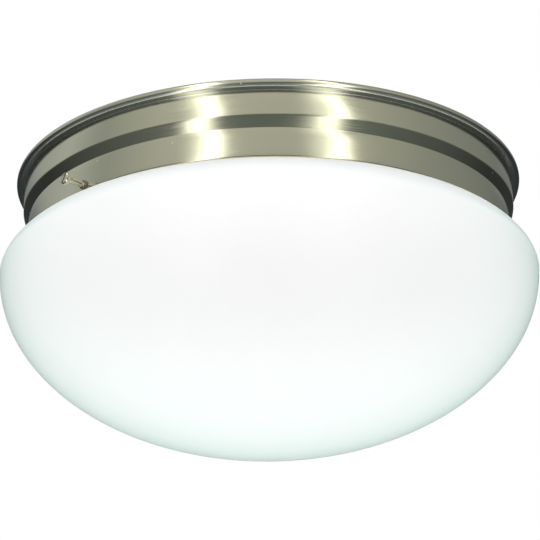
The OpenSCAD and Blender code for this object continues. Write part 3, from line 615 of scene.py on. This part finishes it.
def strip(path, half_width, half_thick):
    """A flat strip whose middle follows a path of (x, z) and whose width lies along y. It
    is half_width wide to each side, less the corners rounded off at its two ends."""
    step = np.gradient(path, axis=0)
    step /= np.linalg.norm(step, axis=1)[:, None]
    run = np.concatenate(([0], np.cumsum(np.linalg.norm(np.diff(path, axis=0), axis=1))))
    end, corner, c = np.minimum(run, run[-1] - run), 2.5, 0.15
    narrow = corner - np.sqrt(np.clip(corner**2 - np.clip(corner - end, 0, corner) ** 2, 0, None))
    w, h = (half_width - narrow)[:, None], half_thick
    y = np.hstack((c - w, w - c, w, w, w - c, c - w, -w, -w))
    t = np.broadcast_to(np.array([-h, -h, c - h, h - c, h, h, h - c, c - h]), y.shape)
    points = np.stack((path[:, :1] - step[:, 1:] * t, y, path[:, 1:] + step[:, :1] * t), -1)
    caps = [np.broadcast_to(points[k].mean(0), points[k].shape)[None] for k in (0, -1)]
    return grid_mesh("strip", np.concatenate((caps[0], points, caps[1])))


zinc_strip = plated("zinc_strip", (120, 1800, 1800), (0.66, 0.69, 0.73), (0.72, 0.69, 0.60))
angle_path = finer(rounded_path([(85.83, 34.45), (101.065, 34.45, 1.6), (101.065, -15.98)], 9), 1.5)
angle_path = np.vstack((
    np.linspace(angle_path[0], angle_path[1], 9)[:-1], angle_path[1:-2],
    np.linspace(angle_path[-2], angle_path[-1], 9)))
for number in (1, 2):
    piece(f"lamp_bracket_{number}", "pan", [strip(angle_path, 14, 0.75)], zinc_strip,
          f"holder_bracket_{number}", at=lamp_place(number), slot="zinc_steel")

# Four zinc-plated rivets go up through the feet and the pan's plate. Both heads are domed.
rivet_section = np.array([
    (0, 32.5), (0.9, 32.53), (1.8, 32.66), (2.6, 32.9), (3.2, 33.28), (3.46, 33.6), (3.4, 33.7), (2.0, 33.7),
    (2.0, 36.0), (3.4, 36.0), (3.46, 36.1), (3.2, 36.42), (2.6, 36.8), (1.8, 37.04), (0.9, 37.17), (0, 37.2)])
zinc_rivets = plated("zinc_rivets", (700, 700, 700), (0.64, 0.67, 0.70), (0.70, 0.69, 0.64), 0.28, 0.42)
for number in (1, 2, 3, 4):
    across = 9 if number % 2 else -9
    piece(f"domed_rivet_{number}", "pan", [grid_mesh("rivet", turned(rivet_section, 40))], zinc_rivets,
          f"bracket_rivet_{number}", slot="zinc_steel",
          at=lamp_place((number + 1) // 2) @ Matrix.Translation((0.092815, across / 1000, 0)))


# The lampholders are white glazed porcelain, pressed and fired in one piece, with a collar
# round the mouth and an unglazed foot, because the foot stands in the kiln. The leads go
# in through two holes in the top.
along_x = Matrix.Rotation(math.pi / 2, 4, "Y")
porcelain, tree, shader, place = paint_of("porcelain")
iron = use(tree, specks, {"Place": place, "Cells": 320.0, "Size": 0.16, "Share": 0.035})["Mask"]
pooling = noise(tree, place, 60.0, 3.0)
glaze = blend(tree, iron, blend(tree, pooling, (0.87, 0.86, 0.81), (0.93, 0.925, 0.895)), (0.45, 0.38, 0.29))
from_middle = reckon(tree, "ABSOLUTE", add(tree, "ShaderNodeSeparateXYZ", {0: place}).outputs["X"])
bare = ranged(tree, reckon(tree, "MULTIPLY_ADD", pooling, 0.0012, from_middle), 0.0, 1.0, 0.0980, 0.0982)
sandy = reckon(tree, "MULTIPLY", noise(tree, place, 1800.0), bare)
put(tree, shader, Base_Color=blend(tree, bare, glaze, (0.78, 0.74, 0.66)),
    Roughness=ranged(tree, bare, 0.10, 0.85), Coat_Weight=ranged(tree, bare, 0.6, 0.0), Coat_Roughness=0.05,
    Normal=bump(tree, sandy, 0.5, 0.0002, Normal=bump(tree, pooling, 0.35, 0.0004)))
cup_section = rounded_path([
    (0, 89.315), (13.8, 89.315, 0.5), (13.8, 62.315, 0.7), (16.0, 62.315, 0.6), (17.5, 63.815, 0.8),
    (17.5, 69.315, 0.9), (19.0, 70.815, 0.9), (19.0, 96.315, 0.8), (18.0, 97.315, 0.5), (18.0, 100.315, 0.5),
    (0, 100.315)], 7)
cup = grid_mesh("cup", turned(cup_section, 96))
cup.transform(along_x)
lead_x, lead_hole_r = 76.315, 1.35
drilled = np.radians(np.arange(0, 360, 15))[:, None]
for across in (6, -6):
    hole = np.hstack((lead_x + lead_hole_r * np.cos(drilled), across + lead_hole_r * np.sin(drilled)))
    cup = cut(cup, prism(hole, 14.7, 22, (lead_x, across)))
for number in (1, 2):
    piece(f"porcelain_cup_{number}", "pan", [cup], porcelain, f"lampholder_{number}",
          at=lamp_place(number), slot="porcelain")

# In each lampholder sits a brass shell with a rolled thread for the lamp, and a stamped
# brass contact with a raised middle at the bottom of the bore.
brass = plated("brass", (900, 900, 900), (0.70, 0.50, 0.19), (0.80, 0.64, 0.30), 0.16, 0.32)
lamp_pitch = 3.63
shell_out, shell_in = (threaded(radius, 0.26, lamp_pitch, 63.32, 87.3, 72) for radius in (13.75, 13.61))
shell_points = np.concatenate((shell_out, shell_in[::-1]))
contact_section = rounded_path([
    (0, 87.95), (2.2, 87.95, 0.6), (3.6, 88.5, 0.8), (6.0, 88.5, 0.3), (6.0, 89.3, 0.2), (0, 89.3)], 6)
for number in (1, 2):
    seat = lamp_place(number) @ along_x
    piece(f"brass_shell_{number}", "pan", [grid_mesh("shell", shell_points, closed_along=True)],
          brass, f"screw_shell_{number}", at=seat, slot="brass")
    piece(f"brass_contact_{number}", "pan", [grid_mesh("contact", turned(contact_section, 48))],
          brass, f"centre_contact_{number}", at=seat, slot="brass")

# Two zinc-plated screws go through each bracket into the back of its porcelain.
for number in (1, 2, 3, 4):
    across = 10 if number % 2 else -10
    piece(f"porcelain_screw_{number}", "pan", [domed_screw(6.3, 2.0, 3.5, 9.5, number * 50)], zinc_screws,
          f"holder_screw_{number}", slot="zinc_steel",
          at=lamp_place((number + 1) // 2) @ Matrix.Translation((0.101815, across / 1000, 0)) @ along_x)


# One black and one white lead run from each porcelain, under the plate, up through the
# pan's hole and into a connector. They are stranded wire in a smooth, waxed sleeve, and
# they are fixed wiring, held at both ends.
def smooth_route(points, steps):
    """The curve through all the points, with steps to each gap: between b and c, whose
    neighbours are a and d, it is the cubic whose slopes there are (c - a) / 2 and (d - b) / 2."""
    p = np.vstack((points[:1], points, points[-1:]))
    f = np.linspace(0, 1, steps, endpoint=False)[None, :, None]
    a, b, c, d = (p[k : len(p) - 3 + k, None] for k in range(4))
    cubic = b + ((c - a) + (2 * a - 5 * b + 4 * c - d + (3 * b - a - 3 * c + d) * f) * f) * f / 2
    return np.vstack((cubic.reshape(-1, 3), points[-1:]))


def tube(path, radius, sides):
    """A round tube along a path. Its rings are square to the path, and each ring's first
    direction is the last ring's, turned only as far as the path turns."""
    along = np.gradient(path, axis=0)
    along /= np.linalg.norm(along, axis=1)[:, None]
    first = np.zeros_like(path)
    first[0] = np.cross(along[0], (0.3, 1.0, 0.1))
    for k in range(1, len(path)):
        first[k] = first[k - 1] - along[k] * (first[k - 1] @ along[k])
        first[k] /= np.linalg.norm(first[k])
    first[0] /= np.linalg.norm(first[0])
    second = np.cross(along, first)
    angle = np.linspace(0, 2 * np.pi, sides, endpoint=False)[None, :, None]
    rings = path[:, None] + radius * (np.cos(angle) * first[:, None] + np.sin(angle) * second[:, None])
    caps = [np.broadcast_to(path[k], rings[0].shape)[None] for k in (0, -1)]
    return grid_mesh("tube", np.concatenate((caps[0], rings, caps[1])))


def lead_route(side, off, way):
    """The route from the porcelain on that side to the connector on the way's side of the
    strap. The lead that crosses over passes closer to the keyhole of the carrying screw."""
    porcelain_r, flat = 19, -14.3
    x, y, top = side * lead_x, side * (lamp_y + off), lamp_z + math.sqrt(porcelain_r**2 - off**2)
    hole = (side * 11, way * 5)
    far = (x - side * 14, y + (hole[1] - y) * 0.2)
    knee = 15.6 + 2.2 * (3 if side == way else 1)
    return smooth_route(np.array([
        (x, y, top - 3), (x, y, top), (x, y, (top + flat) / 2),
        (x - side * 3.6, y + (hole[1] - y) * 0.05, flat - 1.6), (*far, flat),
        (side * carry_x, side * knee, flat), (hole[0] + side * 10, hole[1] + (far[1] - hole[1]) * 0.14, flat),
        (*hole, -12.4), (side * 4.1, way * 13, -7.8), (side * 1.8, way * 18, -7.4),
        (side * 1.3, way * 22, -7.4), (side * 1.3, way * 26, -7.4)]), 14)


def smooth_stuff(name, scale, tones, roughness, relief, detail=2.0, grain=None, **others):
    """Plastic or glass whose tone and roughness go between two values with one noise of
    that scale. Relief is a bump's strength and distance, on that noise or a finer grain."""
    made, tree, shader, place = paint_of(name)
    flow = noise(tree, place, scale, detail)
    skin = noise(tree, place, grain) if grain else flow
    put(tree, shader, Base_Color=blend(tree, flow, *tones), Roughness=ranged(tree, flow, *roughness),
        Normal=bump(tree, skin, *relief), **others)
    return made


for name, way, tones in (
    ("black", 1, ((0.012, 0.012, 0.013), (0.05, 0.05, 0.048))),
    ("white", -1, ((0.80, 0.79, 0.74), (0.88, 0.875, 0.85))),
):
    waxed = smooth_stuff(
        f"{name}_sleeve", 160.0, tones, (0.38, 0.62), (0.3, 0.00008), detail=3.0, grain=2600.0)
    for number, side in ((1, 1), (2, -1)):
        piece(f"{name}_wire_{number}", "pan", [tube(lead_route(side, 6 * side * way, way), 1.1, 20)], waxed,
              f"lead_{name}_{number}", slot=f"{name}_lead")

# The leads end in two twist-on connectors of orange moulded plastic, ribbed for the
# fingers, with a plain skirt at the mouth and a rounded closed end.
orange = smooth_stuff(
    "connector_plastic", 220.0, ((0.78, 0.22, 0.03), (0.86, 0.29, 0.05)), (0.26, 0.42), (0.2, 0.0003))
nut_section = finer(rounded_path([
    (0, 4.5), (3.2, 4.5, 0.3), (3.2, 0, 0.25), (4.5, 0, 0.5), (4.5, 5.4, 3.0), (3.0, 17.9, 1.6),
    (0, 18)], 7), 0.8)


def ribs(profile, angle):
    """Twelve rounded grooves along the outside, from the skirt to the closed end."""
    radius, height = profile.T
    outside = (radius > 2.0) & (height > 3.2) & (radius > 3.21 - 0.12 * (height - 5.4))
    depth = np.where(outside, np.clip((height - 3.2) / 1.6, 0, 1) * np.clip((17.4 - height) / 1.2, 0, 1), 0)
    return -0.42 * depth[:, None] * (0.5 - 0.5 * np.cos(12 * angle))[None]


for name, way in (("black", 1), ("white", -1)):
    piece(f"twist_connector_{name}", "pan", [grid_mesh("ribbed", turned(nut_section, 96, ribs))], orange,
          f"connector_{name}", slot="connector",
          at=Matrix.Translation((0, way * 0.023, -0.0074)) @ Matrix.Rotation(-way * math.pi / 2, 4, "X"))


# Three clinch nuts of dark steel are pressed into the lower band from inside. Their
# barrels stand a little proud of it and hold the thumb screws.
def screw_place(bearing):
    """Carries a piece drawn along +Z, from the pan's axis, out to the screw on that side."""
    return Matrix.Rotation(math.radians(bearing), 4, "Z") @ Matrix.Translation((0, 0, -0.0387)) @ along_x


burnished, tree, shader, place = paint_of("burnished_steel")
marks = use(tree, streaks, {"Place": place, "Stretch": (900, 900, 900), "Low": 0.30, "High": 0.52})
put(tree, shader, Base_Color=blend(tree, marks["Cloud"], (0.17, 0.16, 0.135), (0.26, 0.245, 0.20)),
    Metallic=1.0, Roughness=marks["Value"])
barrel_section = rounded_path([
    (1.95, 132.66), (3.0, 132.66, 0.25), (3.0, 135.96, 0.25), (2.5, 135.96, 0.1), (2.5, 138.2, 0.3),
    (1.95, 138.2)], 6)
screw_bearings = ((1, 224), (2, 369), (3, 79))
for number, bearing in screw_bearings:
    piece(f"clinch_nut_{number}", "pan", [grid_mesh("nut", turned(barrel_section, 48), closed_along=True)],
          burnished, f"thumb_nut_{number}", at=screw_place(bearing), slot="dark_steel")

# Each thumb screw is turned brass in satin nickel: a straight-grooved rim, a bevelled face,
# a sawn slot and a plain neck above its thread. It carries a soft white tip, which presses
# on the neck of the glass.
bright_nickel, tree, shader, place = paint_of("bright_nickel")
marks = use(tree, streaks, {"Place": place, "Stretch": (1500, 1500, 1500), "Low": 0.10, "High": 0.20})
put(tree, shader, Base_Color=blend(tree, marks["Cloud"], (0.58, 0.555, 0.43), (0.67, 0.645, 0.52)),
    Metallic=1.0, Roughness=marks["Value"], Normal=bump(tree, marks["Value"], 0.08, 0.0001))
soft_white = smooth_stuff(
    "soft_white_tip", 900.0, ((0.72, 0.71, 0.66), (0.80, 0.79, 0.75)), (0.5, 0.7), (0.2, 0.0001))


def grooved_rim(profile, angle):
    """Twenty-four V grooves round the head: the radius falls to each groove's middle, on
    the part of the side between the two bevels."""
    height = profile[:, 1]
    on_rim = (height > 0.5) & (height < 1.98) & (profile[:, 0] > 3.1)
    depth = np.where(on_rim, np.clip(np.minimum(height - 0.5, 1.98 - height) / 0.25, 0, 1), 0)
    groove = np.clip(1 - np.abs((angle * 24 / (2 * np.pi)) % 1 - 0.5) / 0.3, 0, 1)
    return -0.3 * depth[:, None] * groove[None]


head_section = finer(rounded_path([
    (0, 2.46), (1.7, 2.46, 1.2), (2.25, 2.6, 0.3), (2.6, 2.6, 0.25), (3.25, 1.98, 0.2), (3.25, 0.45, 0.2),
    (2.85, 0, 0.2), (1.8, 0, 0.15), (1.5, -0.3, 0.1), (1.5, -2.6)], 7), 0.25)
head_points = np.concatenate((turned(head_section, 168, grooved_rim), turned(np.array([(0, -2.6)]), 168)))
shank_ends = [turned(np.array(ends), 80) for ends in (
    [(0, -2.5), (1.48, -2.5), (1.48, -5.8), (1.48, -9.1), (1.56, -9.2)], [(1.45, -20.75), (0, -20.8)])]
shank_points = np.concatenate((shank_ends[0], threaded(1.74, 0.2, 0.794, -9.25, -20.4, 80), shank_ends[1]))
tip_section = rounded_path([
    (0, 124.95), (1.4, 124.95, 0.5), (1.8, 125.5, 0.5), (1.8, 127.5, 0.15), (0, 127.5)], 7)
head_foot = Matrix.Translation((0, 0, 0.14841))
for number, bearing in screw_bearings:
    sawn_head = cut(grid_mesh("head", head_points), slot_tool(1.0, 1.0, 2.6, 148))
    piece(f"grooved_thumb_screw_{number}", f"screw_{number}", [sawn_head, grid_mesh("shank", shank_points)],
          bright_nickel, f"thumb_screw_{number}", at=screw_place(bearing) @ head_foot,
          slot="satin_nickel", sharp=30)
    piece(f"soft_tip_{number}", f"tip_{number}", [grid_mesh("tip", turned(tip_section, 40))], soft_white,
          f"thumb_tip_{number}", at=screw_place(bearing), slot="soft_tip")

# Two screw-in lamps, made as the trade makes them: a drop of solder, a black glass ring, a
# thin cap with a rolled thread, and a bulb that is frosted white inside.
solder = plated("solder", (500, 500, 500), (0.42, 0.42, 0.40), (0.60, 0.60, 0.57), 0.35, 0.55)
cap_metal = plated("cap_metal", (1300, 1300, 1300), (0.66, 0.66, 0.63), (0.72, 0.71, 0.66), 0.16, 0.30)
black_glass, tree, shader, place = paint_of("black_glass")
pour = noise(tree, place, 150.0)
put(tree, shader, Base_Color=blend(tree, pour, (0.010, 0.009, 0.014), (0.030, 0.024, 0.040)),
    Roughness=0.08, Normal=bump(tree, pour, 0.4, 0.0006))
frosted = smooth_stuff(
    "frosted_glass", 34.0, ((0.86, 0.86, 0.84), (0.92, 0.92, 0.90)), (0.26, 0.36), (0.05, 0.00005),
    grain=1600.0, Coat_Weight=0.4, Coat_Roughness=0.06)
drop_section = rounded_path([(0, 85.22), (5.0, 85.22, 0.2), (5.0, 86.2, 0.9), (2.6, 87.4, 2.0), (0, 87.6)], 7)
ring_section = np.vstack((
    [(0, 82.62)], rounded_path([(11.3, 82.62), (11.5, 82.9, 0.2), (8.2, 84.25, 6.0), (5.05, 85.2)], 9),
    [(0, 85.2)]))
cap_shell = np.concatenate((
    turned(np.array([(12.45, 60.13), (12.9, 60.13), (12.95, 60.3), (12.95, 63.2)]), 96),
    threaded(12.95, 0.78, lamp_pitch, 63.3, 80.9, 96),
    turned(rounded_path([(12.9, 81.0), (12.2, 81.9, 1.0), (11.55, 82.6)], 6), 96),
    turned(np.array([(10.6, 82.6), (10.9, 81.6), (11.6, 80.6), (11.75, 70.0), (12.0, 61.0)]), 96)))

# The bulb, with its cap's edge at height 0: a ball of 30 mm radius round height 53, and a
# throat, a cubic that leaves the cap upright and meets the ball in its own direction.
ball_r, ball_height, glass_wall = 30, 53, 1
ball_turn = np.radians(np.linspace(-20, 90, 60))[:, None]
ball_outside, ball_inside = (
    np.hstack((radius * np.cos(ball_turn), ball_height + radius * np.sin(ball_turn)))
    for radius in (ball_r, ball_r - glass_wall))
f = np.linspace(0, 1, 40, endpoint=False)[:, None]
throat_start, leaving = np.array([(12.35, 0.0)]), np.array([(0.0, 52.0)])
meeting = 40 * np.array([(math.sin(math.radians(20)), math.cos(math.radians(20)))])
throat = (
    (1 + 2 * f) * (1 - f) ** 2 * throat_start + f * (1 - f) ** 2 * leaving
    + f * f * (3 - 2 * f) * ball_outside[:1] + f * f * (f - 1) * meeting)
bulb_outside = np.vstack(([(11.6, -3.9), (12.0, -3.95), (12.3, -3.6)], throat, ball_outside))
bulb_inside = np.vstack(([(11.4, -3.6)], throat - (glass_wall, 0), ball_inside))
bulb_section = np.vstack((bulb_outside, bulb_inside[::-1])) * (1, -1) + (0, 60.115)
for number in (1, 2):
    seat = lamp_place(number) @ along_x
    bulb = grid_mesh("bulb", turned(bulb_section, 96), closed_along=True)
    piece(f"solder_drop_{number}", f"lamp_{number}_carrier", [grid_mesh("drop", turned(drop_section, 48))],
          solder, f"lamp_eyelet_{number}", at=seat, slot="solder")
    piece(f"black_ring_{number}", f"lamp_{number}", [grid_mesh("ring", turned(ring_section, 96))],
          black_glass, f"lamp_insulator_{number}", at=seat, slot="black_glass")
    piece(f"rolled_cap_{number}", f"lamp_{number}", [grid_mesh("cap", cap_shell, closed_along=True)],
          cap_metal, f"lamp_cap_{number}", at=seat, slot="lamp_cap")
    piece(f"white_bulb_{number}", f"lamp_{number}", [bulb],
          frosted, f"lamp_bulb_{number}", at=seat, slot="frosted_bulb")


# The shade is one piece of satin white opal glass, blown in a mould: a fire-polished lip, a
# straight neck that goes up inside the pan, a rounded shoulder and a deep bowl.
widest_r, widest_z, bowl_deep = 152.4, -57.9, 95.6


def shade_outside():
    """The outside from the lip to the lowest point: the tapered neck, a quarter circle out
    to the shoulder, a superellipse to the widest ring and half an ellipse to the bottom."""
    neck_z = np.linspace(-16.6, -41.3, 14)[:, None]
    neck = np.hstack((124.63 + 0.1 * (neck_z + 38.7), neck_z))
    a = np.linspace(0, np.pi / 2, 14)[1:, None]
    fillet = np.hstack((124.37 + 2 * (1 - np.cos(a)), -41.3 - 2 * np.sin(a)))
    flat = np.linspace(fillet[-1], (136.8, -43.3), 6)[1:-1]
    a = np.linspace(np.pi / 2, 0, 48)[:, None]
    reach, rise = np.abs(np.cos(a)) ** 1.25, np.abs(np.sin(a)) ** 1.25
    shoulder = np.hstack((136.8 + 15.6 * reach, widest_z + 14.6 * rise))
    a = np.linspace(0, np.pi / 2, 110)[1:, None]
    bowl = np.hstack((widest_r * np.cos(a), widest_z - bowl_deep * np.sin(a)))
    bowl[-1, 0] = 0
    return np.vstack((neck, fillet, flat, shoulder, bowl))


# Opal glass has a clear casing, whose faint green deepens where one looks along it. Below
# the neck the colour follows how far the surface is turned away: the casing's faint green,
# and at the very edge a darker grey-green, which is painted shade for the dimmer limbs.
# Just under the pan the glass stays untinted.
opal, tree, shader, place = paint_of("opal_glass")
skin = noise(tree, place, 70.0, 3.0)
upright = add(tree, "ShaderNodeSeparateXYZ", {0: place}).outputs["Z"]
below_neck = ranged(tree, upright, 0.0, 1.0, -0.045, -0.055, smooth=True)
facing = add(tree, "ShaderNodeLayerWeight", {"Blend": 0.5}).outputs["Facing"]
edge_tint_and_painted_shade = reckon(tree, "MULTIPLY", facing, below_neck)
body = blend(tree, noise(tree, place, 9.0), (0.965, 0.985, 0.975), (0.985, 0.995, 0.99))
minty = blend(tree, reckon(tree, "POWER", edge_tint_and_painted_shade, 1.5), body, (0.80, 0.985, 0.93))
# The darker grey-green at the very edge is painted shade, not the glass's own colour.
put(tree, shader, Base_Color=blend(tree, reckon(tree, "POWER", edge_tint_and_painted_shade, 5.0), minty, (0.42, 0.52, 0.47)),
    Roughness=ranged(tree, skin, 0.40, 0.50), IOR=1.5, Subsurface_Weight=0.35,
    Subsurface_Radius=(1.0, 1.15, 1.1), Subsurface_Scale=0.008, Normal=bump(tree, skin, 0.08, 0.0004))
glass_thick, inner_pole = 3.2, (0, -150.3)
outer_wall = shade_outside()
wall_way = np.gradient(outer_wall, axis=0)
wall_way /= np.linalg.norm(wall_way, axis=1)[:, None]
inner_wall = outer_wall + glass_thick * np.stack((wall_way[:, 1], -wall_way[:, 0]), -1)
inner_wall[:, 0] = np.maximum(inner_wall[:, 0], 0)
inner_wall[-1] = inner_pole
last = len(inner_wall) - 1
inner_wall = inner_wall[np.concatenate((np.arange(0, 30, 2), np.arange(31, last, 2), [last]))]
lip_turn = np.linspace(np.pi, 0, 12)[1:-1, None]
lip_middle = (outer_wall[0] + inner_wall[0]) / 2
lip = lip_middle + glass_thick / 2 * np.hstack((np.cos(lip_turn), np.sin(lip_turn)))
shade_section = np.vstack((inner_wall[::-1], lip, outer_wall))


def blown(profile, angle):
    """A blown wall is never quite round: slow waves, a tenth of a millimetre deep and
    always inwards, that die out at the pole and at the neck."""
    radius, height = profile[:, :1], profile[:, 1:]
    share = np.clip(radius / widest_r, 0, 1) ** 2 * np.clip((-45 - height) / 12, 0, 1)
    return -0.06 * share * (1 + 0.6 * np.cos(3 * angle + 0.4) + 0.4 * np.cos(7 * angle + height / 17))


piece("opal_shade", "shade", [grid_mesh("shade", turned(shade_section, 256, blown))], opal, "glass_shade",
      slot="opal_glass", sharp=50)
